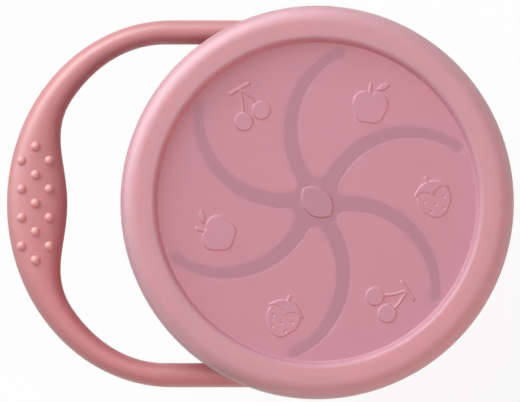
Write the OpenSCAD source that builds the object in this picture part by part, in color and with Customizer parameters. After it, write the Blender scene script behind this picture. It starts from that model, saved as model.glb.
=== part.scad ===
// Toddler snack container: a soft cup with a loop handle, a lid of six spiral
// flaps that a small hand pushes through, and a see-through dust cover on top.
// Millimetres, +Z up. The origin is the middle of the face that the cup stands on.

/* [Cup] */
// Height of the cup's mouth above the surface it stands on
cup_h = 80; // [72:1:96]
// Outer radius of the cup at its base
base_r = 30.5; // [26:0.5:34]
// Thickness of the cup's side wall
cup_wall = 2; // [1.4:0.1:2.6]
// Thickness of the cup's floor
floor_t = 3; // [2.4:0.1:4]
// Rounding between the base and the side wall
base_round = 5; // [3:0.5:8]
// Width of the flat ring outside the groove in the base
foot_w = 3.5; // [2.5:0.5:5]
// Width of the ring groove in the base
foot_groove_w = 3; // [2:0.5:5]
// Depth of the ring groove in the base
foot_groove_d = 0.8; // [0.4:0.1:1.2]
// Outer radius of the neck that both lids close over
neck_r = 42.6; // [41:0.2:46]
// Height of the straight neck between the handle's ring and the mouth
neck_h = 12.7; // [11:0.1:16]
// Thickness of the cup's rim at the mouth
rim_w = 2; // [1.6:0.1:2.6]

/* [Flap lid] */
// Thickness of the flap lid where it wraps the cup's rim
lid_wall = 1.3; // [1:0.1:1.8]
// Thickness of the flaps and of the web that carries them
flap_t = 1.6; // [1:0.1:2.2]
// Depth of the web's upper face below the cup's mouth
web_drop = 2.6; // [2:0.1:4]
// Distance of the slits' round ends from the middle
slit_end_r = 35.3; // [33:0.1:36]
// Radius of the round hole that ends each slit
slit_hole_r = 1.5; // [1.3:0.1:1.8]
// Radius of the arc that each slit follows
slit_bend_r = 20.3; // [19.5:0.1:22]
// How far the arc of a slit passes from the middle
slit_miss = 1.7; // [1.3:0.1:2.2]
// Width of a slit beside its round end
slit_w_out = 2.1; // [1.8:0.1:2.4]
// Width of a slit beside the middle
slit_w_in = 3.5; // [3:0.1:3.8]
// Distance of the centre of a flap's round tip from the middle
tip_at = 8; // [7.5:0.1:9.5]
// Turn of the first slit's round end from the +X axis
lid_turn = 22; // [0:1:59]

/* [Dust cover] */
// Thickness of the dust cover's rim and skirt
cover_wall = 1.5; // [1.2:0.1:2]
// Thickness of the recessed panel
panel_t = 1.5; // [1:0.1:1.8]
// Clear height between the flap lid's web and the panel
panel_gap = 0.4; // [0.3:0.1:0.6]
// Rounding of the cover's outer shoulder
shoulder_round = 5; // [3.5:0.1:5.5]
// Rounding of the cover's inner rim edge
crest_round = 1.2; // [0.5:0.1:1.4]
// Slope of the rims' inner walls from the vertical, in degrees
draft = 8; // [5:1:10]

/* [Handle] */
// Width of the arms, seen from above
arm_w = 5.7; // [5:0.1:6.5]
// Height of the handle's section
arm_h = 9; // [7:0.1:10]
// How far the arms' outer sides lie from the middle line
arm_out = 43.1; // [42:0.1:44]
// Reach of the grip from the cup's axis
reach = 72.6; // [68:0.1:80]
// Distance from the cup's axis to where the outer side begins to bend
bend_out = 33.8; // [32:0.1:36]
// Distance from the cup's axis to where the inner side begins to bend
bend_in = 35.5; // [34:0.1:37]
// Width of the grip at its middle
grip_w = 14.2; // [12:0.1:16]
// Half length of the grip's swelling, along Y
grip_half = 24.5; // [20:0.5:28]
// Width that the loop would have at the grip without its swelling
loop_w = 8.3; // [7:0.1:10]
// Fullness of the handle's section, where 2 is an ellipse
section_power = 2.3; // [2:0.1:3]

/* [Grip bumps] */
// Radius of a bump's ball
bump_r = 1.2; // [0.8:0.1:1.4]
// Depth of a bump's ball centre under the grip's surface
bump_sink = 0.3; // [0.2:0.05:0.6]
// Distance between two bumps in a row, along Y
bump_pitch = 6.68; // [6:0.02:7]
// Distance between two rows of bumps, along X
bump_row = 3.3; // [2.8:0.1:3.6]
// Shift of the bumps from the grip's middle line towards the cup
bump_shift = 0.4; // [0:0.1:0.8]

/* [Fruit reliefs] */
// Height of the reliefs above the panel
relief_h = 0.55; // [0.3:0.05:0.8]
// Width of the step that softens a relief's edge
relief_step = 0.2; // [0.1:0.05:0.25]
// Distance of the fruit from the middle of the cover, before each one's own shift
fruit_at = 27; // [26:0.1:27.5]
// Width of an apple
apple_w = 8.4; // [7:0.1:9]
// Radius of a cherry
cherry_r = 2.25; // [1.8:0.05:2.4]
// Width of a strawberry
strawberry_w = 8.1; // [7:0.1:8.6]
// Length of the lemon in the middle
lemon_l = 9; // [8:0.1:10]

/* [Fits] */
// Clearance between each lid and what it closes over
fit = 0.3; // [0.25:0.05:0.4]
// Clear height between the handle's ring and each skirt above it
skirt_gap = 0.6; // [0.5:0.1:1]

/* [Hidden] */
$fn = 96;

// One flap for each flap node
flaps = 6;

silicone_rose = [0.80, 0.53, 0.55];
silicone_deep = [0.76, 0.51, 0.54];
clear_rose = [0.83, 0.60, 0.64, 0.75];

// Radii of the nested walls at the level of the web's upper face, from outside in
lid_out_r = neck_r + fit + lid_wall;
cover_out_r = lid_out_r + fit + cover_wall;
rim_in_r = neck_r - rim_w;
lid_in_r = rim_in_r - fit - lid_wall;
panel_r = lid_in_r - fit - cover_wall;

// Levels
shoulder_z = cup_h - neck_h;
ring_over = 0.3;
ring_h = arm_h + 2 * ring_over;
ring_z = shoulder_z - ring_h;
web_z = cup_h - web_drop;
lid_top = cup_h + lid_wall;
cover_top = lid_top + cover_wall;
panel_z = web_z + panel_gap + panel_t;
lid_skirt_z = shoulder_z + skirt_gap;
cover_skirt_z = lid_skirt_z + skirt_gap;

// The handle's ring sits in a groove between the shoulder and a bead below it
seat_r = arm_out - arm_w;
ring_past = 0.5;
ring_out_r = arm_out + ring_past;
bead = 0.9;
bead_h = 2;

// ---- helpers -------------------------------------------------------------

function unit(v) = v / norm(v);
function polar(r, a) = r * [cos(a), sin(a)];
function direction(v) = atan2(v.y, v.x);
function turned(p, a) = [p.x * cos(a) - p.y * sin(a), p.x * sin(a) + p.y * cos(a)];

// Radius of a sloping rim wall at level z, where r is its radius at the web
function sloped(r, z) = r + (z - web_z) * tan(draft);

// Corner p between neighbours a and b, rounded to radius r where the sides allow
function rounded_corner(a, p, b, r, steps = 6) =
    r <= 0 ? [p] :
    let (u = unit(a - p),
         v = unit(b - p),
         half = acos(max(-1, min(1, u * v))) / 2,
         run = min(r / tan(half), 0.48 * norm(a - p), 0.48 * norm(b - p)),
         rr = run * tan(half),
         c = p + unit(u + v) * rr / sin(half),
         a0 = direction(p + u * run - c),
         turn = (direction(p + v * run - c) - a0 + 540) % 360 - 180)
    [for (i = [0:steps]) c + polar(rr, a0 + turn * i / steps)];

// Outline through corners written as [x, y, rounding]
function rounded(corners) =
    let (n = len(corners),
         at = function (i) [corners[(i + n) % n].x, corners[(i + n) % n].y])
    [for (i = [0:n - 1]) each rounded_corner(at(i - 1), at(i), at(i + 1), corners[i].z)];

// Outline of a line of width w along a path, with round ends
function stroke(path, w) =
    let (n = len(path) - 1,
         heading = function (i) direction(path[min(i + 1, n)] - path[max(i - 1, 0)]),
         cap = 6,
         start = heading(0),
         end = heading(n))
    concat([for (i = [0:n]) path[i] + polar(w / 2, heading(i) - 90)],
           [for (i = [1:cap - 1]) path[n] + polar(w / 2, end - 90 + 180 * i / cap)],
           [for (i = [n:-1:0]) path[i] + polar(w / 2, heading(i) + 90)],
           [for (i = [1:cap - 1]) path[0] + polar(w / 2, start + 90 + 180 * i / cap)]);

// Outline of two round ends, about a and b, and the straight sides between them
function taper(a, b, ra, rb, steps = 20) =
    let (along = direction(b - a),
         side = 90 - asin((ra - rb) / norm(b - a)))
    concat([for (i = [0:steps]) a + polar(ra, along + side + (360 - 2 * side) * i / steps)],
           [for (i = [0:steps]) b + polar(rb, along - side + 2 * side * i / steps)]);

// Points on a shallow curve from a to b that bulges sideways by rise
function bow(a, b, rise, steps = 6) =
    let (across = turned(unit(b - a), 90))
    [for (i = [0:steps]) a + (b - a) * i / steps + across * rise * sin(180 * i / steps)];

// ---- cup -----------------------------------------------------------------

cup_in_seat_r = seat_r - cup_wall;
cup_in_base_r = base_r - cup_wall;
groove_out_r = base_r - base_round - foot_w;
groove_slope = 0.4;
// Half the height of the ramp between the seat's bore and the neck's bore
ramp_h = 3;

cup_profile = rounded([
    [0, 0, 0],
    [groove_out_r - foot_groove_w, 0, 0.3],
    [groove_out_r - foot_groove_w + groove_slope, foot_groove_d, 0.3],
    [groove_out_r - groove_slope, foot_groove_d, 0.3],
    [groove_out_r, 0, 0.3],
    [base_r, 0, base_round],
    [seat_r - 2 * bead / 3, ring_z - 2 * bead_h, 1],
    [seat_r + bead, ring_z - bead_h, 0.8],
    [seat_r + bead, ring_z, 0.4],
    [seat_r, ring_z, 0.3],
    [seat_r, shoulder_z, 0.3],
    [neck_r, shoulder_z, 0.5],
    [neck_r, cup_h, 0.7],
    [sloped(rim_in_r, cup_h), cup_h, 0.5],
    [rim_in_r, web_z, 1],
    [rim_in_r, shoulder_z + ramp_h, 3],
    [cup_in_seat_r, shoulder_z - ramp_h, 3],
    [cup_in_seat_r, ring_z - bead_h, 3],
    [cup_in_base_r, floor_t, base_round],
    [0, floor_t, 0]
]);

module cup() {
    color(silicone_rose)
        rotate_extrude() polygon(cup_profile);
}

// ---- handle --------------------------------------------------------------

// The plan of the handle at angle t, from -90 on one arm to 90 on the other
function outer_side(t) = [-bend_out - (reach - bend_out) * cos(t), arm_out * sin(t)];

inner_out = arm_out - arm_w;
plain_reach = reach - loop_w;
swelling = grip_w - loop_w;

function inner_side(t) =
    let (y = inner_out * sin(t),
         swell = abs(y) < grip_half ? swelling * pow(cos(90 * y / grip_half), 2) : 0)
    [-bend_in - (plain_reach - bend_in) * cos(t) + swell, y];

// The arms run straight alongside the cup and end inside the ring
arm_end_x = -4;
arm_mid_x = -20;
loop_steps = 44;
section_sides = 24;

// Outer and inner sides of the plan, station by station, from one arm to the other
stations = concat(
    [for (x = [arm_end_x, arm_mid_x]) [[x, -arm_out], [x, -inner_out]]],
    [for (i = [0:loop_steps]) let (t = -90 + 180 * i / loop_steps)
        [outer_side(t), inner_side(t)]],
    [for (x = [arm_mid_x, arm_end_x]) [[x, arm_out], [x, inner_out]]]);

handle_z = ring_z + ring_h / 2;

function powered(v, p) = sign(v) * pow(abs(v), p);

// One ring of points around the section between the sides s[0] and s[1]
function section_ring(s) =
    let (mid = (s[0] + s[1]) / 2, half = (s[0] - s[1]) / 2)
    [for (j = [0:section_sides - 1])
        let (a = 360 * j / section_sides,
             across = powered(cos(a), 2 / section_power),
             up = powered(sin(a), 2 / section_power))
        [mid.x + half.x * across, mid.y + half.y * across, handle_z + arm_h / 2 * up]];

// Height of the grip's upper face above its middle plane, off by d from its middle line
function grip_crown(d) =
    arm_h / 2 * pow(1 - pow(min(1, abs(d) / (grip_w / 2)), section_power), 1 / section_power);

module handle_loop() {
    rings = len(stations);
    n = section_sides;
    polyhedron(
        points = [for (s = stations) each section_ring(s)],
        faces = concat(
            [[for (j = [0:n - 1]) j]],
            [for (i = [0:rings - 2], j = [0:n - 1], half = [0:1])
                let (a = i * n + j, b = i * n + (j + 1) % n)
                half == 0 ? [a, a + n, b] : [b, a + n, b + n]],
            [[for (j = [n - 1:-1:0]) (rings - 1) * n + j]]));
}

module handle_ring() {
    rotate_extrude()
        polygon(rounded([
            [seat_r, ring_z, 0.4],
            [ring_out_r, ring_z, 3],
            [ring_out_r, ring_z + ring_h, 3],
            [seat_r, ring_z + ring_h, 0.4]
        ]));
}

module bump(row, y) {
    off = row * bump_row + bump_shift;
    translate([grip_w / 2 - reach + off, y, handle_z + grip_crown(off) - bump_sink])
        sphere(r = bump_r, $fn = 32);
}

module handle() {
    color(silicone_rose) {
        handle_loop();
        handle_ring();
        for (i = [-2:2]) bump(0, i * bump_pitch);
        for (row = [-1, 1], i = [-1.5:1.5]) bump(row, i * bump_pitch);
    }
}

// ---- flap lid ------------------------------------------------------------

flap_angle = 360 / flaps;

// Centre of a slit's arc, with the slit's round end on +X
arc_centre_d = slit_bend_r + slit_miss;
arc_centre = polar(arc_centre_d, -acos(
    (pow(slit_end_r, 2) + pow(arc_centre_d, 2) - pow(slit_bend_r, 2))
    / (2 * slit_end_r * arc_centre_d)));
arc_from = direction([slit_end_r, 0] - arc_centre);
arc_to = direction(-arc_centre);

// The slit's two edges are arcs whose centres move apart, so it widens inwards
edge_shift = (slit_w_in - slit_w_out) / (2 - 2 * cos(arc_to - arc_from));
edge_half = slit_w_in / 2 - edge_shift;
far_edge_c = arc_centre + polar(edge_shift, arc_to);
far_edge_r = slit_bend_r + edge_half;
near_edge_c = arc_centre - polar(edge_shift, arc_to);
near_edge_r = slit_bend_r - edge_half;

function slit_middle(a) = arc_centre + polar(slit_bend_r, a);

module slit() {
    intersection() {
        difference() {
            translate(far_edge_c) circle(r = far_edge_r, $fn = 180);
            translate(near_edge_c) circle(r = near_edge_r, $fn = 180);
        }
        polygon([arc_centre,
                 for (a = [arc_from, (arc_from + arc_to) / 2, arc_to, arc_to + 30])
                     arc_centre + polar(2 * slit_bend_r, a)]);
    }
    translate([slit_end_r, 0]) circle(r = slit_hole_r, $fn = 32);
}

// A flap lies between the far edge of its own slit and the near edge of the next.
// Its tip is a circle that touches both edges.
function off_far_edge(p) = norm(p - far_edge_c) - far_edge_r;
function off_near_edge(p) = near_edge_r - norm(p - turned(near_edge_c, flap_angle));
function tip_angle(lo, hi, tries = 24) =
    let (mid = (lo + hi) / 2, p = polar(tip_at, mid))
    tries == 0 ? mid :
    off_far_edge(p) < off_near_edge(p) ? tip_angle(mid, hi, tries - 1)
                                       : tip_angle(lo, mid, tries - 1);

tip = polar(tip_at, tip_angle(30, 110));
// A hair over the touching radius, so that the circle crosses the edges
tip_r = off_far_edge(tip) + 0.02;

// Along its own slit's middle, across to the tip, and back along the next slit's middle
arc_steps = 12;
tip_turn = direction(tip - arc_centre);
next_turn = direction(turned(tip, -flap_angle) - arc_centre);
flap_cell = concat(
    [for (i = [0:arc_steps]) slit_middle(arc_from + (tip_turn - arc_from) * i / arc_steps)],
    [tip],
    [for (i = [arc_steps:-1:0])
        turned(slit_middle(arc_from + (next_turn - arc_from) * i / arc_steps), flap_angle)]);

module flap(i) {
    color(silicone_deep)
        translate([0, 0, web_z - flap_t])
            rotate(lid_turn + flap_angle * (i - 1)) {
                linear_extrude(flap_t)
                    difference() {
                        polygon(flap_cell);
                        slit();
                        rotate(flap_angle) slit();
                    }
                translate(tip) cylinder(r = tip_r, h = flap_t, $fn = 32);
            }
}

lid_profile = rounded([
    [0, web_z - flap_t, 0],
    [lid_in_r + lid_wall / 2, web_z - flap_t, 0.8],
    [sloped(rim_in_r - fit, web_z), web_z, 0],
    [sloped(rim_in_r - fit, cup_h), cup_h, 0.3],
    [neck_r + fit, cup_h, 0.5],
    [neck_r + fit, lid_skirt_z, 0.4],
    [lid_out_r, lid_skirt_z, 0.4],
    [lid_out_r, lid_top, 2.9],
    [sloped(lid_in_r, lid_top), lid_top, 0.6],
    [lid_in_r, web_z, 0.5],
    [0, web_z, 0]
]);

module flap_lid() {
    color(silicone_deep)
        difference() {
            rotate_extrude() polygon(lid_profile);
            translate([0, 0, web_z - flap_t - 1])
                rotate(lid_turn)
                    linear_extrude(flap_t + 2) {
                        polygon([for (i = [0:flaps - 1])
                            polar(slit_end_r, i * flap_angle)]);
                        for (i = [0:flaps - 1])
                            translate(polar(slit_end_r, i * flap_angle))
                                circle(r = slit_hole_r, $fn = 32);
                    }
        }
}

// ---- dust cover ----------------------------------------------------------

panel_under_z = panel_z - panel_t;
cover_in_r = panel_r + cover_wall;

cover_profile = rounded([
    [0, panel_under_z, 0],
    [sloped(cover_in_r, panel_under_z), panel_under_z, 0.8],
    [sloped(cover_in_r, lid_top), lid_top, 0.4],
    [lid_out_r + fit, lid_top, 2.5],
    [lid_out_r + fit, cover_skirt_z, 0.5],
    [cover_out_r, cover_skirt_z, 0.6],
    [cover_out_r, cover_top, shoulder_round],
    [sloped(panel_r, cover_top), cover_top, crest_round],
    [sloped(panel_r, panel_z), panel_z, 0.4],
    [0, panel_z, 0]
]);

// The fruit are drawn upright about their own middle. Each is drawn twice, and
// the second time its shapes are smaller all round by inset.
module line(path, w, inset) {
    polygon(stroke(path, w - 2 * inset));
}

module leaf(length, width, inset) {
    // A leaf from the origin along +X, between two arcs
    l = length / 2 - inset;
    h = width / 2 - inset * 0.8;
    r = (l * l + h * h) / (2 * h);
    translate([length / 2, 0])
        intersection() {
            translate([0, h - r]) circle(r = r);
            translate([0, r - h]) circle(r = r);
        }
}

module apple(inset) {
    for (side = [-1, 1])
        polygon(taper([side * 0.17, 0.1] * apple_w, [side * 0.12, -0.17] * apple_w,
                      0.33 * apple_w - inset, 0.29 * apple_w - inset));
    line(bow([0, 0.25 * apple_w], [-0.05 * apple_w, 0.62 * apple_w], 0.2), 0.9, inset);
    translate([0.12 * apple_w, 0.48 * apple_w]) rotate(31)
        leaf(0.42 * apple_w, 0.18 * apple_w, inset);
}

module cherries(inset) {
    left = [-0.41, -1.8] * cherry_r;
    right = [1.42, -0.63] * cherry_r;
    for (at = [left, right])
        translate(at) circle(r = cherry_r - inset);
    line(bow([-0.8, 1.35] * cherry_r, left + [-0.05, 0.9] * cherry_r, 0.2), 0.7, inset);
    line(bow([-0.65, 1.4] * cherry_r, right + [-0.5, 0.8] * cherry_r, 0.2), 0.7, inset);
    line([[-1.75, 1.1] * cherry_r, [0.08, 2.15] * cherry_r], 0.95, inset);
}

module strawberry_body(inset) {
    polygon(taper([0, 0.04] * strawberry_w, [0, -0.19] * strawberry_w,
                  0.5 * strawberry_w - inset, 0.36 * strawberry_w - inset));
}

// A smooth cap over the top, scalloped into leaves whose middle one hangs down
module strawberry_crown(inset) {
    difference() {
        intersection() {
            translate([0, -0.05 * strawberry_w]) circle(r = 0.605 * strawberry_w - inset);
            translate([-strawberry_w, 0.21 * strawberry_w + inset])
                square([2 * strawberry_w, strawberry_w]);
        }
        for (side = [-1, 1])
            translate([side * 0.3 * strawberry_w, 0.08 * strawberry_w])
                circle(r = 0.2 * strawberry_w + inset);
    }
    translate([0, 0.4 * strawberry_w]) rotate(-90)
        leaf(0.3 * strawberry_w, 0.19 * strawberry_w, inset);
    line(bow([-0.05, 0.5] * strawberry_w, [-0.06, 0.65] * strawberry_w, 0.05), 0.9, inset);
}

module strawberry_seeds() {
    for (at = [[-0.29, 0], [0.29, 0], [0, -0.15], [-0.2, -0.32], [0.2, -0.32]])
        translate(at * strawberry_w) circle(r = 0.3, $fn = 16);
}

module lemon(inset) {
    translate([-lemon_l / 2, 0]) leaf(lemon_l, 0.74 * lemon_l, inset);
    for (side = [-1, 1])
        translate([side * 0.45 * lemon_l, 0]) circle(r = 0.055 * lemon_l - inset);
}

// Raises the shapes that follow over the panel, with a stepped edge
module raised(height = relief_h) {
    translate([0, 0, panel_z - panel_t / 2]) {
        linear_extrude(panel_t / 2 + height / 2) {
            $inset = 0;
            children();
        }
        linear_extrude(panel_t / 2 + height) {
            $inset = relief_step;
            children();
        }
    }
}

// Puts a fruit on the panel, past fruit_at by shift, and turns it by spin
module on_panel(around, shift, spin) {
    rotate(around) translate([fruit_at + shift, 0]) rotate(spin - around) children();
}

module strawberry_relief() {
    body_h = 0.6 * relief_h;
    difference() {
        raised(body_h) strawberry_body($inset);
        translate([0, 0, panel_z + body_h - 0.2])
            linear_extrude(1) strawberry_seeds();
    }
    raised() strawberry_crown($inset);
}

module dust_cover() {
    color(clear_rose) {
        rotate_extrude() polygon(cover_profile);
        on_panel(61, -1.5, -7) raised() apple($inset);
        on_panel(198, -2.8, 71) raised() apple($inset);
        on_panel(125.4, 1.1, 0) raised() cherries($inset);
        on_panel(-52.3, 1.75, -87) raised() cherries($inset);
        on_panel(1.4, 0.4, 17) strawberry_relief();
        on_panel(-106.4, 1.4, -22) strawberry_relief();
        rotate(136) raised() lemon($inset);
    }
}

cup();
handle();
flap_lid();
flap(1);  // flap_1
flap(2);  // flap_2
flap(3);  // flap_3
flap(4);  // flap_4
flap(5);  // flap_5
flap(6);  // flap_6
dust_cover();
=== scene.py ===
import math

import bpy
import numpy as np
from mathutils.geometry import delaunay_2d_cdt
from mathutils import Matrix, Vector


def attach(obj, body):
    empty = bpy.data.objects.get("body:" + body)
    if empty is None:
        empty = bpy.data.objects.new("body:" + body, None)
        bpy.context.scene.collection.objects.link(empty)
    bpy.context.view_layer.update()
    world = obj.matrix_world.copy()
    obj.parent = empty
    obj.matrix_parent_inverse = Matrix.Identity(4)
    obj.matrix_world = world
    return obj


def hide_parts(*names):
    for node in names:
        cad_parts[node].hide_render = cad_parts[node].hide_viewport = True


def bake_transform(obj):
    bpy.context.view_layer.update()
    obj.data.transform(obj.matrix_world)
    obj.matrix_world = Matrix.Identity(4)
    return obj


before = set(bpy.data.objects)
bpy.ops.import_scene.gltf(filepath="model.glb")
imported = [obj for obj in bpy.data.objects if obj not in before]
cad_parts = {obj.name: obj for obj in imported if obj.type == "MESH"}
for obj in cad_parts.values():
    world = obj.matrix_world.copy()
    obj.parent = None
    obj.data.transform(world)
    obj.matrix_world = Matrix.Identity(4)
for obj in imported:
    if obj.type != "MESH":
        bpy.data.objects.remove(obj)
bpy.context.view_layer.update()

# A toddler's snack container: a cup, a handle with a ring round the cup, a lid of six soft flaps
# and a thin dust cover with raised fruit. Each is modelled in mm and placed in metres.
MM = 0.001

# ---- sizes of the container, in mm --------------------------------------------

# the cup, with levels measured from its foot
CUP_H = 80
CUP_WALL = 2
FLOOR_T = 3
BASE_R = 30.5
FOOT_IN_R = 19
FOOT_OUT_R = 22
FOOT_GROOVE = 0.8
FOOT_DRAFT = 0.4
NECK_R = 42.6
RIM_IN_R = 40.6
SHOULDER_Z = 67.3
RING_Z = 57.7
SEAT_R = 37.4
BEAD = 0.9
BEAD_H = 2

# the flap lid and the dust cover over it, each with its gap to what it sits on
FIT = 0.3
DRAFT = math.radians(8)
WEB_Z = 77.4
FLAP_T = 1.6
WEB_OUT = 38.3
LID_TOP = 81.3
LID_IN_R = 39.0
LIP_IN_R = 39.65
LID_OUT_R = 44.2
LID_SKIRT_Z = 67.9
PANEL_Z = 79.3
PANEL_T = 1.5
PANEL_R = 37.2
PANEL_LOOK_R = 38.65
COVER_TOP = 82.8
COVER_OUT_R = 46.0
COVER_IN_R = 38.7
COVER_SKIRT_Z = 68.5
SHOULDER_ROUND = 5.0
CREST_ROUND = 1.2
EDGE_ROUND = 0.45

# the slits that part the flaps
FLAPS = 6
LID_TURN = 22
SLIT_END_R = 35.3
SLIT_HOLE_R = 1.5
SLIT_BEND_R = 20.3
SLIT_MISS = 1.7
SLIT_W_OUT = 2.1
SLIT_W_IN = 3.5
TIP_AT = 8.0

# the handle
RING_OUT_R = 43.6
HANDLE_Z = 62.5
ARM_H = 9.0
ARM_END = 4
ARM_OUT = 43.1
ARM_W = 5.7
REACH = 72.6
BEND_OUT = 33.8
BEND_IN = 35.5
GRIP_W = 14.2
GRIP_HALF = 24.5
LOOP_W = 8.3
FULLNESS = 2.3
BUMP_R = 1.2
BUMP_SINK = 0.3
BUMP_PITCH = 6.68
BUMP_ROW = 3.3
BUMP_SHIFT = -0.4

# the fruit on the dust cover
RELIEF = 0.5
RELIEF_EDGE = 0.3
FRUIT_AT = 27
APPLE_W = 8.4
CHERRY_R = 2.25
STRAWBERRY_W = 8.1
LEMON_L = 9
STALK_W = 0.9
CHERRY_STALK_W = 0.7
TWIG_W = 0.95
SEED_DEPTH = 0.22
SEED_R = 0.27

# ---- fineness of the meshes: counts of points, or mm between them ----------------

TURN_POINTS = 288
COVER_POINTS = 360
LOOP_POINTS = 72
BEND_POINTS = 260
ARM_POINTS = 24
BUMP_POINTS = 40
BUMP_RINGS = 12
SIDE_STEP = 0.25
WEB_SIDE_STEP = 0.2
TIP_STEP = 0.15
HOLE_STEP = 0.12
ROOT_POINTS = 60
FLAP_ROWS = 130
FLAP_COLUMNS = 16
EDGE_STEPS = [0, 0.03, 0.08, 0.15, 0.24, 0.34, 0.46]
WEB_STEP = 0.8
SECTOR_FROM = -4.2
FRUIT_GRID = 0.09
LOOSE = 0.9
FLAT_R = 36.0


def sloped(r, z):
    """Radius at level z of a rim's drafted inner wall that has radius r at the web."""
    return r + (z - WEB_Z) * math.tan(DRAFT)


def polar(r, degrees):
    """The point at a radius and an angle."""
    return np.array([r * math.cos(math.radians(degrees)), r * math.sin(math.radians(degrees))])


def turned(points, degrees):
    """Points turned about the axis."""
    c, s = math.cos(math.radians(degrees)), math.sin(math.radians(degrees))
    return np.asarray(points) @ np.array([[c, s], [-s, c]])


def heading(v):
    """The angle at which a vector points."""
    return math.degrees(math.atan2(v[1], v[0]))


def shorter_turn(start, end):
    """The turn of at most half a circle that leads from one heading to another."""
    return (end - start + 540) % 360 - 180


def unit(v):
    return v / np.linalg.norm(v)


# ---- meshes -------------------------------------------------------------------


def rounded(corners, steps=9):
    """Closed outline past corners [x, y, radius], each rounded as far as its sides allow."""
    outline = []
    n = len(corners)
    for i, (x, y, r) in enumerate(corners):
        a, p, b = (np.array(corners[(i + k) % n][:2], float) for k in (-1, 0, 1))
        if r <= 0:
            outline.append(p)
            continue
        u, v = unit(a - p), unit(b - p)
        half = math.acos(max(-1.0, min(1.0, float(u @ v)))) / 2
        run = min(r / math.tan(half), 0.48 * np.linalg.norm(a - p), 0.48 * np.linalg.norm(b - p))
        radius = run * math.tan(half)
        middle = p + unit(u + v) * radius / math.sin(half)
        start = heading(p + u * run - middle)
        turn = shorter_turn(start, heading(p + v * run - middle))
        outline += [middle + polar(radius, start + turn * k / steps) for k in range(steps + 1)]
    return outline


def held_flat(outline, margin=0.12):
    """The outline with a point near each end of its long sides, so that they shade flat."""
    out = []
    for a, b in zip(outline, outline[1:]):
        out.append(a)
        length = np.linalg.norm(b - a)
        if length > 5 * margin:
            step = (b - a) * margin / length
            out += [a + step, b - step]
    return out + [outline[-1]]


def smooth_mesh(name, points, faces, material):
    """A smooth piece from points in mm and the faces between them, by number."""
    mesh = bpy.data.meshes.new(name)
    mesh.from_pydata((np.asarray(points, float) * MM).tolist(), [], faces)
    mesh.polygons.foreach_set("use_smooth", [True] * len(mesh.polygons))
    mesh.materials.append(material)
    mesh.update()
    piece = bpy.data.objects.new(name, mesh)
    bpy.context.scene.collection.objects.link(piece)
    return piece


def grid_faces(rows, columns, wrap_rows=False, wrap_columns=True, first=0):
    """Quads between rows of points. Seen from outside, the next row is left of the way a row runs."""
    faces = []
    for i in range(rows if wrap_rows else rows - 1):
        a, b = first + i * columns, first + (i + 1) % rows * columns
        for j in range(columns if wrap_columns else columns - 1):
            k = (j + 1) % columns
            faces.append((a + j, a + k, b + k, b + j))
    return faces


def fan(first, columns, pole, under=False):
    """Triangles from a ring of points, numbered from first, to a pole over it or under it."""
    faces = []
    for j in range(columns):
        k = (j + 1) % columns
        faces.append((pole, first + k, first + j) if under else (pole, first + j, first + k))
    return faces


def spokes(count):
    """Angles at even steps round the axis."""
    return np.arange(count) * 360 / count


def swept(outline, angles):
    """Points round the axis: for each (radius, z) of an outline, one at each angle in degrees."""
    rows = np.array(outline)
    spin = np.radians(angles)
    x = rows[:, :1] * np.cos(spin)
    y = rows[:, :1] * np.sin(spin)
    z = np.repeat(rows[:, 1:], len(spin), axis=1)
    return np.stack([x, y, z], axis=-1).reshape(-1, 3)


# ---- materials ----------------------------------------------------------------


class Value:
    """What a node gives. A number takes arithmetic."""

    def __init__(self, finish, socket):
        self.finish = finish
        self.socket = socket

    def _math(self, operation, *values):
        return self.finish.value("Math", {"operation": operation}, dict(enumerate(values)))

    def __add__(self, other):
        return self._math("ADD", self, other)

    __radd__ = __add__

    def __sub__(self, other):
        return self._math("SUBTRACT", self, other)

    def __rsub__(self, other):
        return self._math("SUBTRACT", other, self)

    def __mul__(self, other):
        return self._math("MULTIPLY", self, other)

    __rmul__ = __mul__

    def above(self, level, softness):
        """0 below level, 1 above it, over a band of width softness."""
        band = {0: self, 1: level - softness / 2, 2: level + softness / 2}
        return self.finish.value("MapRange", {"interpolation_type": "SMOOTHSTEP"}, band)


class Finish:
    """A material, or the world's look, and the nodes that make it."""

    def __init__(self, name, tree=None):
        if tree is None:
            self.material = bpy.data.materials.new(name)
            self.material.use_nodes = True
            tree = self.material.node_tree
        self.tree = tree
        self.tree.nodes.clear()

    def node(self, kind, settings=None, sockets=None):
        """A node of a kind, with its settings and what its sockets hold or are fed."""
        node = self.tree.nodes.new("ShaderNode" + kind)
        for name, value in (settings or {}).items():
            setattr(node, name, value)
        for name, value in (sockets or {}).items():
            if isinstance(value, Value):
                self.tree.links.new(value.socket, node.inputs[name])
            else:
                node.inputs[name].default_value = value
        return node

    def value(self, kind, settings=None, sockets=None, output=0):
        """One output of such a node."""
        return Value(self, self.node(kind, settings, sockets).outputs[output])

    def place(self):
        """The place on the piece, in its own frame."""
        return self.value("TexCoord", output="Object")

    def noise(self, size, detail):
        """Cloudy noise from 0 to 1 with patches of the given size in mm."""
        sockets = {"Vector": self.place(), "Scale": 1 / (size * MM), "Detail": detail}
        return self.value("TexNoise", None, sockets)

    def mix(self, share, a, b, blend="MIX"):
        """Colour a with a share of colour b blended in."""
        sockets = {0: share, 6: a, 7: b}
        return self.value("Mix", {"data_type": "RGBA", "blend_type": blend}, sockets, output=2)

    def output(self, shader):
        """The material, finished with this shader."""
        self.node("OutputMaterial", None, {"Surface": shader})
        return self.material


def linear(r, g, b):
    """A colour written in display values from 0 to 255, as the renderer's linear light."""
    out = [c / 255 / 12.92 if c <= 10 else ((c / 255 + 0.055) / 1.055) ** 2.4 for c in (r, g, b)]
    return (*out, 1.0)


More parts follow.
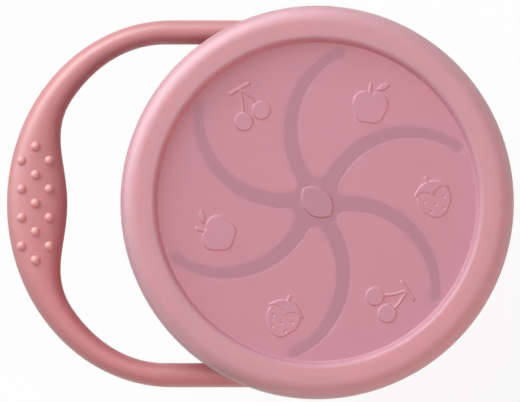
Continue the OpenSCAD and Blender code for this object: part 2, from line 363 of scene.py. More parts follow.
def silicone_look(finish, colour, warm, gloss):
    """What all the silicone shares: faint clouds of tone, a satin grain and a soft second gloss."""
    broad = finish.noise(size=38, detail=1.5)
    swell = finish.noise(size=11, detail=1.0)
    cloud = finish.noise(size=7, detail=3.0)
    mottle = finish.noise(size=1.3, detail=2.0)
    grain = finish.noise(size=0.32, detail=1.0)
    tone = finish.mix(broad.above(0.5, 0.5), colour, warm)
    lift = 0.97 + 0.035 * cloud + 0.025 * mottle
    tint = finish.value("CombineColor", None, {0: lift, 1: lift, 2: lift})
    fine = {"Height": 0.75 * grain + 0.25 * mottle, "Strength": 0.22, "Distance": 0.06 * MM}
    skin = finish.value("Bump", None, fine)
    broader = {"Height": swell, "Strength": 0.2, "Distance": 0.6 * MM, "Normal": skin}
    return {
        "Base Color": finish.mix(1.0, tone, tint, "MULTIPLY"),
        "Roughness": gloss - 0.05 + 0.07 * cloud + 0.05 * grain,
        "Normal": finish.value("Bump", None, broader),
        "Coat Roughness": 0.66,
        "Coat IOR": 1.6,
    }


def silicone(name, colour, warm, gloss, depth):
    """Solid silicone. Depth is the share of its colour that comes from light spread inside it."""
    finish = Finish(name)
    sockets = silicone_look(finish, colour, warm, gloss) | {
        "IOR": 1.55,
        "Specular IOR Level": 1.0,
        "Coat Weight": 1.0,
        "Subsurface Weight": depth,
        "Subsurface Radius": (1.0, 0.25, 0.2),
        "Subsurface Scale": 2.5 * MM,
    }
    return finish.output(finish.value("BsdfPrincipled", None, sockets))


def veil_silicone(name, colour, warm, clear, gloss, shine, bloom, depth, reach):
    """Thin silicone. Clear is the share of the view that it lets through, less at its relief.

    Shine and bloom are the strengths of its sharp and its soft gloss. Reach is how far light
    spreads inside it, in mm. Only the side that faces the eye shows, so a wall counts once.
    Its shadows are faint.
    """
    finish = Finish(name)
    height = finish.value("SeparateXYZ", None, {0: finish.place()}, output="Z")
    thick = height.above((PANEL_Z + 0.6 * RELIEF) * MM, 0.6 * RELIEF * MM)
    solid = (1 - clear) + 0.35 * clear * thick
    front = 1 - finish.value("NewGeometry", output="Backfacing")
    shade = 1 - 0.85 * finish.value("LightPath", output="Is Shadow Ray")
    sockets = silicone_look(finish, colour, warm, gloss) | {
        "IOR": 1.5,
        "Specular IOR Level": shine,
        "Coat Weight": bloom,
        "Alpha": solid * front * shade,
        "Subsurface Weight": depth,
        "Subsurface Radius": (1.0, 0.28, 0.22),
        "Subsurface Scale": reach * MM,
    }
    return finish.output(finish.value("BsdfPrincipled", {"subsurface_method": "BURLEY"}, sockets))


cup_silicone = silicone(
    "rose_silicone_cup", linear(190, 115, 116), linear(188, 111, 110), gloss=0.46, depth=0.6
)
handle_silicone = silicone(
    "rose_silicone_handle", linear(176, 97, 101), linear(174, 93, 96), gloss=0.5, depth=0.0
)
# the bumps: the handle's silicone in a lighter copy, a painted highlight that stands in for the light
# on their crests
bump_silicone_painted_highlight = silicone(
    "rose_silicone_grip_bump_painted_highlight", linear(200, 127, 127), linear(197, 122, 121), gloss=0.54, depth=0.0
)
lid_silicone = silicone(
    "rose_silicone_flap_lid", linear(214, 142, 147), linear(211, 138, 143), gloss=0.46, depth=0.5
)
rim_silicone = veil_silicone(
    "veil_silicone_cover_rim",
    linear(175, 121, 134),
    linear(173, 119, 131),
    clear=0.08,
    gloss=0.46,
    shine=1.0,
    bloom=1.0,
    depth=1.0,
    reach=7,
)
panel_silicone = veil_silicone(
    "veil_silicone_cover_panel",
    linear(195, 142, 156),
    linear(193, 140, 153),
    clear=0.19,
    gloss=0.36,
    shine=0.5,
    bloom=0.0,
    depth=0.1,
    reach=2,
)

# ---- cup ----------------------------------------------------------------------

# corners as [radius, level, rounding]: along the foot, up the outside and down the inside
cup_corners = [
    [0, 0, 0],
    [FOOT_IN_R, 0, 0.3],
    [FOOT_IN_R + FOOT_DRAFT, FOOT_GROOVE, 0.3],
    [FOOT_OUT_R - FOOT_DRAFT, FOOT_GROOVE, 0.3],
    [FOOT_OUT_R, 0, 0.3],
    [BASE_R, 0, 5],
    [SEAT_R - 2 * BEAD / 3, RING_Z - 2 * BEAD_H, 1],
    [SEAT_R + BEAD, RING_Z - BEAD_H, 0.8],
    [SEAT_R + BEAD, RING_Z, 0.4],
    [SEAT_R, RING_Z, 0.3],
    [SEAT_R, SHOULDER_Z, 0.3],
    [NECK_R, SHOULDER_Z, 0.5],
    [NECK_R, CUP_H, 0.7],
    [sloped(RIM_IN_R, CUP_H), CUP_H, 0.5],
    [RIM_IN_R, WEB_Z, 1],
    [RIM_IN_R, SHOULDER_Z + 3, 3],
    [SEAT_R - CUP_WALL, SHOULDER_Z - 3, 3],
    [SEAT_R - CUP_WALL, RING_Z - BEAD_H, 3],
    [BASE_R - CUP_WALL, FLOOR_T, 5],
    [0, FLOOR_T, 0],
]


def cup_shell():
    """The cup, swept from its outline, with a middle point under its floor and one on it."""
    rows = held_flat(rounded(cup_corners))[1:-1]
    points = swept(rows, spokes(TURN_POINTS))
    count = len(points)
    faces = grid_faces(len(rows), TURN_POINTS)
    faces += fan(0, TURN_POINTS, count, under=True)
    faces += fan(count - TURN_POINTS, TURN_POINTS, count + 1)
    poles = [[0, 0, 0], [0, 0, FLOOR_T]]
    return smooth_mesh("cup_shell", np.vstack([points, poles]), faces, cup_silicone)


cup = cup_shell()
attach(cup, "cup_body")
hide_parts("cup")

# ---- handle -------------------------------------------------------------------


def powered(v, p):
    """The size of v to a power, with v's own sign."""
    return math.copysign(abs(v) ** p, v)


def outer_side(t):
    """A point on the bend's outer side. t runs from -90 degrees at one arm to 90 at the other."""
    return np.array([-BEND_OUT - (REACH - BEND_OUT) * math.cos(t), ARM_OUT * math.sin(t)])


def inner_side(t):
    """A point on the bend's inner side, which swells inward along the grip."""
    y = (ARM_OUT - ARM_W) * math.sin(t)
    swell = 0
    if abs(y) < GRIP_HALF:
        swell = (GRIP_W - LOOP_W) * math.cos(math.pi / 2 * y / GRIP_HALF) ** 2
    return np.array([-BEND_IN - (REACH - LOOP_W - BEND_IN) * math.cos(t) + swell, y])


def arm(side, run):
    """Outer and inner edge of an arm's straight part at each x of a run."""
    return [(np.array([x, side * ARM_OUT]), np.array([x, side * (ARM_OUT - ARM_W)])) for x in run]


def handle_points():
    """Rings of points round the loop, from one arm's end by way of the grip to the other's."""
    run = np.linspace(-ARM_END, -BEND_OUT, ARM_POINTS)[:-1]
    bend = [math.pi * i / BEND_POINTS - math.pi / 2 for i in range(BEND_POINTS + 1)]
    stations = arm(-1, run) + [(outer_side(t), inner_side(t)) for t in bend] + arm(1, run[::-1])
    rings = []
    for out, inn in stations:
        mid, half = (out + inn) / 2, (out - inn) / 2
        ring = []
        for j in range(LOOP_POINTS):
            a = 2 * math.pi * j / LOOP_POINTS
            across = powered(math.cos(a), 2 / FULLNESS)
            up = powered(math.sin(a), 2 / FULLNESS)
            ring.append([*(mid + half * across), HANDLE_Z + ARM_H / 2 * up])
        rings.append(ring)
    return np.array(rings)


def grip_top(x, y):
    """Point and normal on the top of the grip at (x, y)."""
    t = math.asin(y / ARM_OUT)
    out, inn = outer_side(t), inner_side(t)
    half = abs(out[0] - inn[0]) / 2
    across = (x - (out[0] + inn[0]) / 2) / half
    up = (1 - abs(across) ** FULLNESS) ** (1 / FULLNESS)
    slope = ARM_H / 2 * powered(across, FULLNESS - 1) * up ** (1 - FULLNESS) / half
    return np.array([x, y, HANDLE_Z + ARM_H / 2 * up]), unit(np.array([slope, 0, 1]))


def bump(seat, normal):
    """Points of a round bump on a surface: rings from its foot up, then its top and its middle."""
    side = np.cross([0, 1, 0], normal)
    forward = np.cross(normal, side)
    centre = seat - normal * BUMP_SINK
    points = []
    for rise in np.radians(np.linspace(2, 88, BUMP_RINGS)):
        for a in np.linspace(0, 2 * math.pi, BUMP_POINTS, endpoint=False):
            level = math.cos(a) * side + math.sin(a) * forward
            points.append(centre + BUMP_R * (math.cos(rise) * level + math.sin(rise) * normal))
    return points + [centre + BUMP_R * normal, centre]


def bumps(first):
    """Three rows of bumps on the top of the grip, with points numbered from first."""
    middle = GRIP_W / 2 - REACH + BUMP_SHIFT
    spots = [(middle, i * BUMP_PITCH) for i in range(-2, 3)]
    for side in (-1, 1):
        spots += [(middle + side * BUMP_ROW, (i - 1.5) * BUMP_PITCH) for i in range(4)]
    points, faces = [], []
    for x, y in spots:
        seat, normal = grip_top(x, y)
        start = first + len(points)
        top = start + BUMP_RINGS * BUMP_POINTS
        points += bump(seat, normal)
        faces += grid_faces(BUMP_RINGS, BUMP_POINTS, first=start)
        faces += fan(top - BUMP_POINTS, BUMP_POINTS, top)
        faces += fan(start, BUMP_POINTS, top + 1, under=True)
    return points, faces


def handle_loop():
    """The loop with its bumps. Its rings turn the other way round, so its faces are turned over."""
    rings = handle_points()
    count = len(rings)
    faces = grid_faces(count, LOOP_POINTS)
    faces.append(tuple(range(LOOP_POINTS - 1, -1, -1)))
    faces.append(tuple((count - 1) * LOOP_POINTS + j for j in range(LOOP_POINTS)))
    faces = [tuple(reversed(face)) for face in faces]
    points = rings.reshape(-1, 3)
    bump_points, bump_faces = bumps(len(points))
    points = np.vstack([points, bump_points])
    piece = smooth_mesh("handle_loop", points, faces + bump_faces, handle_silicone)
    # the bumps take the lighter copy of the silicone, their painted highlight
    piece.data.materials.append(bump_silicone_painted_highlight)
    for face in piece.data.polygons[len(faces) :]:
        face.material_index = 1
    return piece


def handle_ring():
    """The ring that the loop grows out of. It grips the cup between its bead and its shoulder."""
    outline = rounded(
        [
            [SEAT_R, RING_Z, 0.4],
            [RING_OUT_R, RING_Z, 3],
            [RING_OUT_R, SHOULDER_Z, 3],
            [SEAT_R, SHOULDER_Z, 0.4],
        ]
    )
    points = swept(outline, spokes(TURN_POINTS))
    faces = grid_faces(len(outline), TURN_POINTS, wrap_rows=True)
    return smooth_mesh("handle_ring", points, faces, handle_silicone)


loop = handle_loop()
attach(loop, "cup_body")
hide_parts("handle")

ring = handle_ring()
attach(ring, "cup_body")
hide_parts("handle")

# ---- slits between the flaps ---------------------------------------------------
#
# A slit is an arc that starts from a round hole and widens toward the hub, and the same slit
# repeats every STEP degrees. A flap lies between the far side of one slit and the near side of
# the next one, from its straight root between the two holes to its round tip.

STEP = 360 / FLAPS
ARC_D = SLIT_BEND_R + SLIT_MISS
ARC_COS = (SLIT_END_R**2 + ARC_D**2 - SLIT_BEND_R**2) / (2 * SLIT_END_R * ARC_D)
ARC_C = polar(ARC_D, -math.degrees(math.acos(ARC_COS)))
ARC_FROM = heading(polar(SLIT_END_R, 0) - ARC_C)
ARC_TO = heading(-ARC_C)
EDGE_SHIFT = (SLIT_W_IN - SLIT_W_OUT) / (2 - 2 * math.cos(math.radians(ARC_TO - ARC_FROM)))
EDGE_HALF = SLIT_W_IN / 2 - EDGE_SHIFT
FAR_C = ARC_C + polar(EDGE_SHIFT, ARC_TO)
FAR_R = SLIT_BEND_R + EDGE_HALF
NEAR_C = ARC_C - polar(EDGE_SHIFT, ARC_TO)
NEAR_R = SLIT_BEND_R - EDGE_HALF
NEXT_NEAR_C = turned(NEAR_C, STEP)
HOLE = polar(SLIT_END_R, 0)
NEXT_HOLE = polar(SLIT_END_R, STEP)


def tip_centre():
    """The middle of a flap's tip: TIP_AT from the hub and as far from one slit as from the next."""
    lo, hi = 30.0, 110.0
    for _ in range(40):
        mid = (lo + hi) / 2
        p = polar(TIP_AT, mid)
        if np.linalg.norm(p - FAR_C) - FAR_R < NEAR_R - np.linalg.norm(p - NEXT_NEAR_C):
            lo = mid
        else:
            hi = mid
    return p


def arc(centre, start, end, step):
    """Points along the shorter arc round a centre, from one point to another."""
    r = np.linalg.norm(start - centre)
    first = heading(start - centre)
    turn = shorter_turn(first, heading(end - centre))
    n = max(2, int(abs(math.radians(turn)) * r / step) + 1)
    return np.array([centre + polar(r, a) for a in np.linspace(first, first + turn, n)])


def circles_meet(c0, r0, c1, r1):
    """The two points where circles meet."""
    d = np.linalg.norm(c1 - c0)
    along = (d * d + r0 * r0 - r1 * r1) / (2 * d)
    side = math.sqrt(r0 * r0 - along * along)
    u = unit(c1 - c0)
    w = np.array([-u[1], u[0]])
    return c0 + u * along + w * side, c0 + u * along - w * side


def root_start():
    """Where the straight line between the holes crosses the slit's far side."""
    u = unit(NEXT_HOLE - HOLE)
    f = HOLE - FAR_C
    along = float(f @ u)
    return HOLE + u * (math.sqrt(along * along - float(f @ f) + FAR_R * FAR_R) - along)


ROOT_A = root_start()
ROOT_B = NEXT_HOLE + unit(HOLE - NEXT_HOLE) * SLIT_HOLE_R
TIP = tip_centre()
TIP_R = np.linalg.norm(TIP - FAR_C) - FAR_R
FAR_TOUCH = TIP + unit(FAR_C - TIP) * TIP_R
NEAR_TOUCH = TIP + unit(TIP - NEXT_NEAR_C) * TIP_R
TIP_END = TIP + unit(FAR_TOUCH + NEAR_TOUCH - 2 * TIP) * TIP_R
HOLE_FAR = max(circles_meet(HOLE, SLIT_HOLE_R, FAR_C, FAR_R), key=np.linalg.norm)
HOLE_NEAR = min(circles_meet(NEXT_HOLE, SLIT_HOLE_R, NEXT_NEAR_C, NEAR_R), key=np.linalg.norm)

# a flap's two sides, each from its root to the middle of its tip
side_far = np.vstack(
    [
        arc(FAR_C, ROOT_A, FAR_TOUCH, SIDE_STEP),
        arc(TIP, FAR_TOUCH, TIP_END, TIP_STEP)[1:],
    ]
)
side_near = np.vstack(
    [
        arc(NEXT_HOLE, ROOT_B, HOLE_NEAR, HOLE_STEP),
        arc(NEXT_NEAR_C, HOLE_NEAR, NEAR_TOUCH, SIDE_STEP)[1:],
        arc(TIP, NEAR_TOUCH, TIP_END, TIP_STEP)[1:],
    ]
)

# the web's edge from the root of the flap before, round the hole and along the slit to this one's
hole_edge = arc(HOLE, turned(ROOT_B, -STEP), HOLE_FAR, HOLE_STEP)
web_far_edge = arc(FAR_C, HOLE_FAR, ROOT_A, WEB_SIDE_STEP)

one_edge = np.vstack([side_far, side_near, hole_edge, web_far_edge])
cut_edges = np.vstack([turned(one_edge, STEP * k) for k in range(FLAPS)])


def from_cut(points, block=2000):
    """Distance of each point from the nearest cut edge, worked out in blocks to save memory."""
    flat = points.reshape(-1, 2)
    out = []
    for k in range(0, len(flat), block):
        gaps = flat[k : k + block, None, :] - cut_edges
        out.append(np.sqrt((gaps**2).sum(-1)).min(1))
    return np.concatenate(out).reshape(points.shape[:-1])


def edge_drop(points):
    """How far the rounded cut edge lies below the flat face."""
    near = np.clip(EDGE_ROUND - from_cut(points), 0, EDGE_ROUND)
    return EDGE_ROUND - np.sqrt(np.maximum(0, EDGE_ROUND**2 - near**2))


def resampled(path, n):
    """A path with n points at even steps along it."""
    steps = np.linalg.norm(np.diff(path, axis=0), axis=1)
    along = np.concatenate([[0], np.cumsum(steps)])
    at = np.linspace(0, along[-1], n)
    return np.stack([np.interp(at, along, path[:, k]) for k in (0, 1)], axis=-1)


# ---- flaps --------------------------------------------------------------------


def flap_sheet():
    """Rows of points across a flap, from its root to its tip, closer together along its edges."""
    steps = np.array(EDGE_STEPS)
    far, near = resampled(side_far, FLAP_ROWS), resampled(side_near, FLAP_ROWS)
    shares = []
    for a, b in zip(far, near):
        length = max(1e-6, float(np.linalg.norm(b - a)))
        ends = np.minimum(steps / length, 0.5 * steps / steps[-1])
        inside = np.linspace(ends[-1], 1 - ends[-1], FLAP_COLUMNS)[1:-1]
        shares.append(np.concatenate([ends, inside, 1 - ends[::-1]]))
    shares = np.array(shares)[:, :, None]
    return far[:, None, :] * (1 - shares) + near[:, None, :] * shares


sheet = flap_sheet()
sheet_drop = edge_drop(sheet).reshape(-1)


def flap_blade(number):
    """A flap's top and underside with walls along its two sides. Its root stays open to the web."""
    rows, columns = sheet.shape[:2]
    flat = turned(sheet.reshape(-1, 2), LID_TURN + STEP * (number - 1))
    over = np.column_stack([flat, WEB_Z - sheet_drop])
    below = np.column_stack([flat, WEB_Z - FLAP_T + sheet_drop])
    second = len(flat)
    upper = grid_faces(rows, columns, wrap_columns=False)
    lower = [tuple(second + v for v in reversed(face)) for face in upper]
    walls = []
    for i in range(rows - 1):
        a, b = i * columns, (i + 1) * columns
        walls.append((a, b, second + b, second + a))
        a, b = a + columns - 1, b + columns - 1
        walls.append((b, a, second + a, second + b))
    points = np.vstack([over, below])
    return smooth_mesh(f"flap_blade_{number}", points, upper + lower + walls, lid_silicone)


for number in range(1, FLAPS + 1):
    flap = flap_blade(number)
    outward = np.array([*polar(1, LID_TURN + STEP * (number - 0.5)), 0])
    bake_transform(flap)
    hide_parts(f"flap_{number}")

# ---- flap lid: rim and web -----------------------------------------------------

# corners as [radius, level, rounding]: under the web, round the rim and back to the web's top
lid_rim_corners = [
    [WEB_OUT, WEB_Z - FLAP_T, 0],
    [LIP_IN_R, WEB_Z - FLAP_T, 0.8],
    [sloped(RIM_IN_R - FIT, WEB_Z), WEB_Z, 0],
    [sloped(RIM_IN_R - FIT, CUP_H), CUP_H, 0.3],
    [NECK_R + FIT, CUP_H, 0.5],
    [NECK_R + FIT, LID_SKIRT_Z, 0.4],
    [LID_OUT_R, LID_SKIRT_Z, 0.4],
    [LID_OUT_R, LID_TOP, 2.9],
    [sloped(LID_IN_R, LID_TOP), LID_TOP, 0.6],
    [LID_IN_R, WEB_Z, 0.5],
    [WEB_OUT, WEB_Z, 0],
]


def lid_rim_and_web():
    """Rows from the web's cut edge outward along its underside, round the rim, and back on top."""
    root_line = np.linspace(ROOT_A, ROOT_B, ROOT_POINTS)
    one_cut = np.vstack([hole_edge[:-1], web_far_edge[:-1], root_line[:-1]])
    closed = np.vstack([one_cut, turned(one_cut[:1], STEP)])
    lengths = np.linalg.norm(np.diff(closed, axis=0), axis=1)
    sector = SECTOR_FROM + np.concatenate([[0], np.cumsum(lengths)[:-1]]) / lengths.sum() * STEP
    angles = np.concatenate([sector + STEP * k for k in range(FLAPS)])
    cut = np.vstack([turned(one_cut, STEP * k) for k in range(FLAPS)])
    web_rim = np.array([polar(WEB_OUT, a) for a in angles])
    reach = np.linalg.norm(web_rim - cut, axis=1)[:, None]

    upper, lower = [], []
    for step in [*EDGE_STEPS, WEB_STEP]:
        share = np.minimum(step / reach, 0.9)
        row = cut * (1 - share) + web_rim * share
        upper.append(np.column_stack([row, WEB_Z - edge_drop(row)]))
        lower.append(np.column_stack([row, WEB_Z - FLAP_T + edge_drop(row)]))
    rim = swept(held_flat(rounded(lid_rim_corners)), angles)
    points = np.vstack([*lower, rim, *reversed(upper)])
    points[:, :2] = turned(points[:, :2], LID_TURN)

    # the cut edge has a wall, but not along the roots, where the flaps join
    columns = len(angles)
    last = len(points) - columns
    faces = grid_faces(len(points) // columns, columns)
    on_root = np.arange(len(one_cut)) > len(one_cut) - len(root_line)
    for j in np.flatnonzero(~np.tile(on_root, FLAPS)).tolist():
        k = (j + 1) % columns
        faces.append((last + j, last + k, k, j))
    return smooth_mesh("flap_lid_rim_and_web", points, faces, lid_silicone)


lid = lid_rim_and_web()
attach(lid, "lid")
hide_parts("flap_lid")

# ---- dust cover with its fruit --------------------------------------------------
#
# A fruit's shape is a function that gives its height above the panel at points (x, y) about
# its own middle. It is drawn upright.


def disc(x, y, c, r):
    """Distance outside a round shape."""
    return np.hypot(x - c[0], y - c[1]) - r


def taper(x, y, a, b, ra, rb):
    """Distance outside two round ends, about a and b, and the straight sides between them."""
    length = math.dist(a, b)
    ux, uy = (b[0] - a[0]) / length, (b[1] - a[1]) / length
    along = (x - a[0]) * ux + (y - a[1]) * uy
    across = np.abs((y - a[1]) * ux - (x - a[0]) * uy)
    lean = (ra - rb) / length
    upright = math.sqrt(1 - lean * lean)
    station = along * upright - across * lean
    side = across * upright + along * lean - ra
    near_a, near_b = np.hypot(along, across) - ra, np.hypot(along - length, across) - rb
    return np.where(station < 0, near_a, np.where(station > upright * length, near_b, side))


def stroke(x, y, path, width):
    """Distance outside a line of an even width."""
    parts = [taper(x, y, a, b, width / 2, width / 2) for a, b in zip(path, path[1:])]
    return np.minimum.reduce(parts)


def bow(a, b, rise, steps=6):
    """Points on a shallow curve from a to b that bulges sideways by rise."""
    a, b = np.array(a, float), np.array(b, float)
    across = unit(np.array([a[1] - b[1], b[0] - a[0]]))
    along = [i / steps for i in range(steps + 1)]
    return [a + (b - a) * s + across * rise * math.sin(math.pi * s) for s in along]


def leaf(x, y, root, turn, length, width):
    """Distance outside a leaf between two arcs."""
    half, h = length / 2, width / 2
    r = (half * half + h * h) / (2 * h)
    middle, up = np.array(root) + polar(half, turn), polar(r - h, turn + 90)
    return np.maximum(disc(x, y, middle - up, r), disc(x, y, middle + up, r))


def melt(a, b, k):
    """Union of two shapes with a soft fillet between them."""
    h = np.clip(0.5 + 0.5 * (b - a) / k, 0, 1)
    return b * (1 - h) + a * h - k * h * (1 - h)


def pad(distance, height):
    """A pad raised over a shape, with a rounded edge."""
    t = np.clip(-distance / RELIEF_EDGE, 0, 1)
    return height * t * (2 - t)


def top_of(*pads):
    """The highest of several pads at each point."""
    return np.maximum.reduce(pads)


def apple(x, y):
    """Two lobes that melt together, a bent stalk and a leaf."""
    w = APPLE_W
    left, right = (
        taper(x, y, (k * 0.17 * w, 0.1 * w), (k * 0.12 * w, -0.17 * w), 0.33 * w, 0.29 * w)
        for k in (-1, 1)
    )
    stalk = stroke(x, y, bow((0, 0.25 * w), (-0.05 * w, 0.62 * w), 0.2), STALK_W)
    blade = leaf(x, y, (0.12 * w, 0.48 * w), 31, 0.42 * w, 0.18 * w)
    body = melt(left, right, 0.4)
    return top_of(pad(body, RELIEF), pad(stalk, 0.85 * RELIEF), pad(blade, RELIEF))


def cherries(x, y):
    """Two cherries on bent stalks that hang from a twig."""
    r = CHERRY_R
    fruit = np.minimum(disc(x, y, (-0.41 * r, -1.8 * r), r), disc(x, y, (1.42 * r, -0.63 * r), r))
    left = bow((-0.8 * r, 1.35 * r), (-0.46 * r, -0.9 * r), 0.2)
    right = bow((-0.65 * r, 1.4 * r), (0.92 * r, 0.17 * r), 0.2)
    stalks = np.minimum(stroke(x, y, left, CHERRY_STALK_W), stroke(x, y, right, CHERRY_STALK_W))
    twig = stroke(x, y, [(-1.75 * r, 1.1 * r), (0.08 * r, 2.15 * r)], TWIG_W)
    return top_of(pad(fruit, RELIEF), pad(stalks, 0.75 * RELIEF), pad(twig, RELIEF))


def strawberry(x, y):
    """A tapered body with five seed pits, a leafy cap and a stalk."""
    w = STRAWBERRY_W
    body = pad(taper(x, y, (0, 0.04 * w), (0, -0.19 * w), 0.5 * w, 0.36 * w), 0.6 * RELIEF)
    for across, up in [(-0.29, 0), (0.29, 0), (0, -0.15), (-0.2, -0.32), (0.2, -0.32)]:
        from_seed = disc(x, y, (across * w, up * w), 0)
        body = body - SEED_DEPTH * np.exp(-((from_seed / SEED_R) ** 2))
    cap = np.maximum(disc(x, y, (0, -0.05 * w), 0.605 * w), 0.21 * w - y)
    for side in (-1, 1):
        cap = np.maximum(cap, -disc(x, y, (side * 0.3 * w, 0.08 * w), 0.2 * w))
    cap = melt(cap, leaf(x, y, (0, 0.4 * w), -90, 0.3 * w, 0.19 * w), 0.15)
    stalk = stroke(x, y, [(-0.05 * w, 0.5 * w), (-0.06 * w, 0.65 * w)], STALK_W)
    return top_of(body, pad(cap, RELIEF), pad(stalk, RELIEF))


def lemon(x, y):
    """A body between two arcs, with a nub at each end."""
    long = LEMON_L
    body = leaf(x, y, (-long / 2, 0), 0, long, 0.74 * long)
    for side in (-1, 1):
        body = melt(body, disc(x, y, (side * 0.45 * long, 0), 0.055 * long), 0.3)
    return pad(body, RELIEF)


# corners as [radius, level, rounding]: under the panel, down the inside and up the outside
cover_corners = [
    [0, PANEL_Z - PANEL_T, 0],
    [sloped(COVER_IN_R, PANEL_Z - PANEL_T), PANEL_Z - PANEL_T, 0.8],
    [sloped(COVER_IN_R, LID_TOP), LID_TOP, 0.4],
    [LID_OUT_R + FIT, LID_TOP, 2.5],
    [LID_OUT_R + FIT, COVER_SKIRT_Z, 0.5],
    [COVER_OUT_R, COVER_SKIRT_Z, 0.6],
    [COVER_OUT_R, COVER_TOP, SHOULDER_ROUND],
    [sloped(PANEL_R, COVER_TOP), COVER_TOP, CREST_ROUND],
    [sloped(PANEL_R, PANEL_Z), PANEL_Z, 0.4],
    [0, PANEL_Z, 0],
]

# Each fruit: its shape, then the box that holds it as (left, right, bottom, top) and the box's
# own turn, then where it sits: its angle, its shift outward from FRUIT_AT and its turn
APPLE_BOX = (-4.8, 4.8, -4.4, 6.2)
CHERRIES_BOX = (-5.4, 4.7, -5.6, 4.9)
STRAWBERRY_BOX = (-5.2, 5.2, -4.9, 5.9)
LEMON_BOX = (-5.2, 5.2, -4.2, 4.2)
FRUIT = [
    (apple, APPLE_BOX, 0, 61, -1.5, -7),
    (apple, APPLE_BOX, 0, 198, -2.8, 71),
    (cherries, CHERRIES_BOX, 30, 125.4, 1.1, 0),
    (cherries, CHERRIES_BOX, 30, -52.3, 1.75, -87),
    (strawberry, STRAWBERRY_BOX, 0, 1.4, 0.4, 17),
    (strawberry, STRAWBERRY_BOX, 0, -106.4, 1.4, -22),
    (lemon, LEMON_BOX, 0, 0, -FRUIT_AT, 136),
]


def boundary(rows, columns):
    """The outermost points of a grid, in turn, by their number in it."""
    right = [i * columns + columns - 1 for i in range(1, rows)]
    far = [(rows - 1) * columns + j for j in range(columns - 2, -1, -1)]
    left = [i * columns for i in range(rows - 2, 0, -1)]
    return list(range(columns)) + right + far + left


def within(points, middle, turn, box, margin=0.0):
    """Whether each point lies in a box, grown by a margin, that is turned and set at middle."""
    x, y = turned(points - middle, -turn).T
    x0, x1, y0, y1 = box
    return (x > x0 - margin) & (x < x1 + margin) & (y > y0 - margin) & (y < y1 + margin)


def loose_points(holes):
    """Points in even rows between the boxes, which keep the triangles there compact."""
    rows = np.arange(-FLAT_R, FLAT_R, LOOSE * math.sqrt(3) / 2)
    columns = np.arange(-FLAT_R, FLAT_R, LOOSE)
    spots = np.array([[x + (k % 2) * LOOSE / 2, y] for k, y in enumerate(rows) for x in columns])
    free = np.hypot(spots[:, 0], spots[:, 1]) < FLAT_R - LOOSE / 3
    for hole in holes:
        free &= ~within(spots, *hole, LOOSE / 3)
    return spots[free]


def flat_triangles(loops, loose, holes):
    """Triangles over loops of points and loose ones, with the holes left open."""
    spots = np.vstack(loops + [loose])
    sides, at = [], 0
    for loop in loops:
        sides += [(at + k, at + (k + 1) % len(loop)) for k in range(len(loop))]
        at += len(loop)
    vectors = [Vector(p) for p in spots.tolist()]
    inside_only, tolerance = 1, 1e-7
    _, _, triangles, sources, _, _ = delaunay_2d_cdt(vectors, sides, [], inside_only, tolerance)
    corners = np.array([[sources[v][0] for v in t] for t in triangles])
    covered = np.ones(len(corners), bool)
    for hole in holes:
        covered &= ~within(spots[corners].mean(axis=1), *hole)
    return corners[covered]


def panel_with_fruit(first, ring):
    """The panel's upper face inside a ring of points that are numbered from first."""
    points, faces = [], []
    loops, numbers, holes = [ring], [list(range(first, first + len(ring)))], []
    start = first + len(ring)
    for shape, box, box_turn, around, shift, spin in FRUIT:
        left, right, bottom, top = box
        xs = np.linspace(left, right, round((right - left) / FRUIT_GRID) + 1)
        ys = np.linspace(bottom, top, round((top - bottom) / FRUIT_GRID) + 1)
        own = turned(np.stack(np.meshgrid(xs, ys), axis=-1).reshape(-1, 2), box_turn)
        middle = polar(FRUIT_AT + shift, around)
        flat = turned(own, spin) + middle
        points.append(np.column_stack([flat, PANEL_Z + shape(own[:, 0], own[:, 1])]))
        faces += grid_faces(len(ys), len(xs), wrap_columns=False, first=start)
        edge = boundary(len(ys), len(xs))
        loops.append(flat[edge])
        numbers.append([start + k for k in edge])
        holes.append((middle, box_turn + spin, box))
        start += len(flat)
    loose = loose_points(holes)
    points.append(np.column_stack([loose, np.full(len(loose), PANEL_Z)]))
    numbers.append(list(range(start, start + len(loose))))
    number = np.concatenate(numbers)
    faces += [tuple(t) for t in number[flat_triangles(loops, loose, holes)].tolist()]
    return np.vstack(points), faces


def cover_shell():
    """The cover from under its panel round the rim, closed on top by the panel with the fruit."""
    rows = held_flat(rounded(cover_corners, steps=12))[1:-2] + [np.array([FLAT_R, PANEL_Z])]
    shell = swept(rows, spokes(COVER_POINTS))
    last_row = len(shell) - COVER_POINTS
    panel_points, panel_faces = panel_with_fruit(last_row, shell[last_row:, :2])
    under = len(shell) + len(panel_points)
    faces = grid_faces(len(rows), COVER_POINTS) + panel_faces
    faces += fan(0, COVER_POINTS, under, under=True)
    points = np.vstack([shell, panel_points, [[0, 0, PANEL_Z - PANEL_T]]])
    piece = smooth_mesh("dust_cover_shell", points, faces, rim_silicone)
    piece.data.materials.append(panel_silicone)
    from_axis = np.hypot(points[:, 0], points[:, 1])
    for face, corners in zip(piece.data.polygons, faces):
        face.material_index = int(max(from_axis[list(corners)]) < PANEL_LOOK_R)
    return piece


cover = cover_shell()
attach(cover, "cover")
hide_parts("dust_cover")

# ---- floor, light and camera -----------------------------------------------------

# in mm, with AIM at the middle of the frame
LAMPS_AIM_Z = 70
PIXELS_WIDE = 520
PIXEL = 0.23374
FRAME_W = PIXELS_WIDE * PIXEL
SENSOR_W = 36
AIM = (-13.4, 0.26, 80)

# in metres, from AIM up to the camera
CAMERA_H = 3.6
CAMERA_LEAN = math.radians(1.3)
CAMERA_SIDE = math.radians(0.8)


def seen_rays(finish):
    """1 on rays from the camera, straight, mirrored or through a clear piece. 0 on spread light."""
    straight = finish.value("LightPath", output="Is Camera Ray")
    mirrored = finish.value("LightPath", output="Is Glossy Ray")
    through = finish.value("LightPath", output="Is Transmission Ray")
    return 1 - (1 - straight) * (1 - mirrored) * (1 - through)


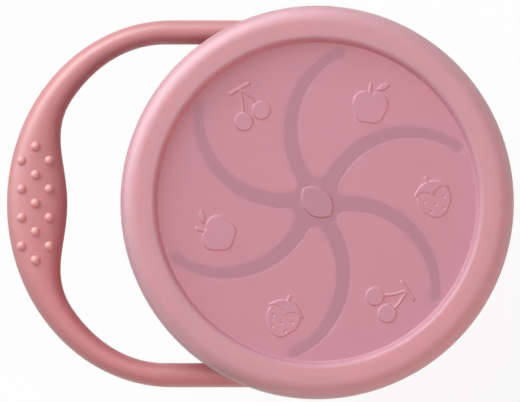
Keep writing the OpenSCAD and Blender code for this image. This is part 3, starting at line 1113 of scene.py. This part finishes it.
def floor_finish():
    """A white page to the eye, dull to the light it would throw back, and clear from below."""
    finish = Finish("pale_floor")
    speck = finish.noise(size=180, detail=2.0)
    white = finish.mix(speck, (0.93, 0.93, 0.93, 1), (0.96, 0.96, 0.96, 1))
    dull = finish.value("BsdfDiffuse", None, {"Color": (0.09, 0.085, 0.085, 1)})
    bright = finish.value("BsdfDiffuse", None, {"Color": white, "Roughness": 0.6})
    glow = finish.value("Emission", None, {"Color": (1, 1, 1, 1), "Strength": 1.0})
    page = finish.value("MixShader", None, {0: 0.9, 1: bright, 2: glow})
    top = finish.value("MixShader", None, {0: seen_rays(finish), 1: dull, 2: page})
    through = finish.value("BsdfTransparent")
    below = finish.value("NewGeometry", output="Backfacing")
    return finish.output(finish.value("MixShader", None, {0: below, 1: top, 2: through}))


def add_floor(reach=9.0):
    """A square floor that reaches so many metres out from the container on each side."""
    corners = [(-reach, -reach, 0), (reach, -reach, 0), (reach, reach, 0), (-reach, reach, 0)]
    mesh = bpy.data.meshes.new("floor")
    mesh.from_pydata(corners, [], [(0, 1, 2, 3)])
    mesh.materials.append(floor_finish())
    floor = bpy.data.objects.new("floor", mesh)
    bpy.context.scene.collection.objects.link(floor)


def add_world():
    """A white page behind everything that is seen, and a dim room for its light."""
    world = bpy.data.worlds.new("studio")
    bpy.context.scene.world = world
    world.use_nodes = True
    finish = Finish("studio", world.node_tree)
    room = finish.value("Background", None, {"Color": (1.0, 0.985, 0.98, 1), "Strength": 0.1})
    page = finish.value("Background", None, {"Color": (1, 1, 1, 1), "Strength": 1.0})
    look = finish.value("MixShader", None, {0: seen_rays(finish), 1: room, 2: page})
    finish.node("OutputWorld", None, {"Surface": look})


def soft_light(name, place, size, power, colour=(1, 1, 1), mirrored=True):
    """A lamp of a width and a height that faces the container. Its place and size are in metres."""
    lamp = bpy.data.lights.new(name, "AREA")
    lamp.shape = "RECTANGLE"
    lamp.size, lamp.size_y = size
    lamp.energy = power
    lamp.color = colour
    holder = bpy.data.objects.new(name, lamp)
    holder.location = place
    aim = Vector((0, 0, LAMPS_AIM_Z * MM)) - Vector(place)
    holder.rotation_mode = "QUATERNION"
    holder.rotation_quaternion = aim.to_track_quat("-Z", "Y")
    holder.visible_camera = False
    holder.visible_glossy = mirrored
    bpy.context.scene.collection.objects.link(holder)


add_floor()
add_world()
soft_light(
    "window_upper_left",
    place=(-0.93, 0.99, 0.55),
    size=(2.5, 0.75),
    power=28,
    colour=(0.9, 1.0, 1.02),
)
soft_light(
    "over_upper_left",
    place=(-0.76, 0.84, 1.05),
    size=(1.2, 1.2),
    power=12,
    colour=(0.96, 1.0, 1.01),
)
soft_light(
    "overhead",
    place=(0.2, -0.2, 1.44),
    size=(1.2, 1.2),
    power=4.6,
    mirrored=False,
)
soft_light(
    "bounce_lower_right",
    place=(0.9, -0.9, 0.5),
    size=(1.4, 0.9),
    power=12,
    colour=(1.0, 0.5, 0.4),
    mirrored=False,
)

bpy.context.scene.view_settings.view_transform = "Standard"


def add_camera():
    """A camera high over the container that looks down at AIM, with a small lean each way."""
    data = bpy.data.cameras.new("camera")
    data.sensor_width = SENSOR_W
    data.lens = SENSOR_W * CAMERA_H / (FRAME_W * MM)
    data.clip_end = 50
    camera = bpy.data.objects.new("camera", data)
    camera.location = (
        AIM[0] * MM - CAMERA_H * math.cos(CAMERA_LEAN) * math.sin(CAMERA_SIDE),
        AIM[1] * MM - CAMERA_H * math.sin(CAMERA_LEAN),
        AIM[2] * MM + CAMERA_H * math.cos(CAMERA_LEAN) * math.cos(CAMERA_SIDE),
    )
    camera.rotation_euler = (CAMERA_LEAN, -CAMERA_SIDE, 0)
    bpy.context.scene.collection.objects.link(camera)
    bpy.context.scene.camera = camera


add_camera()
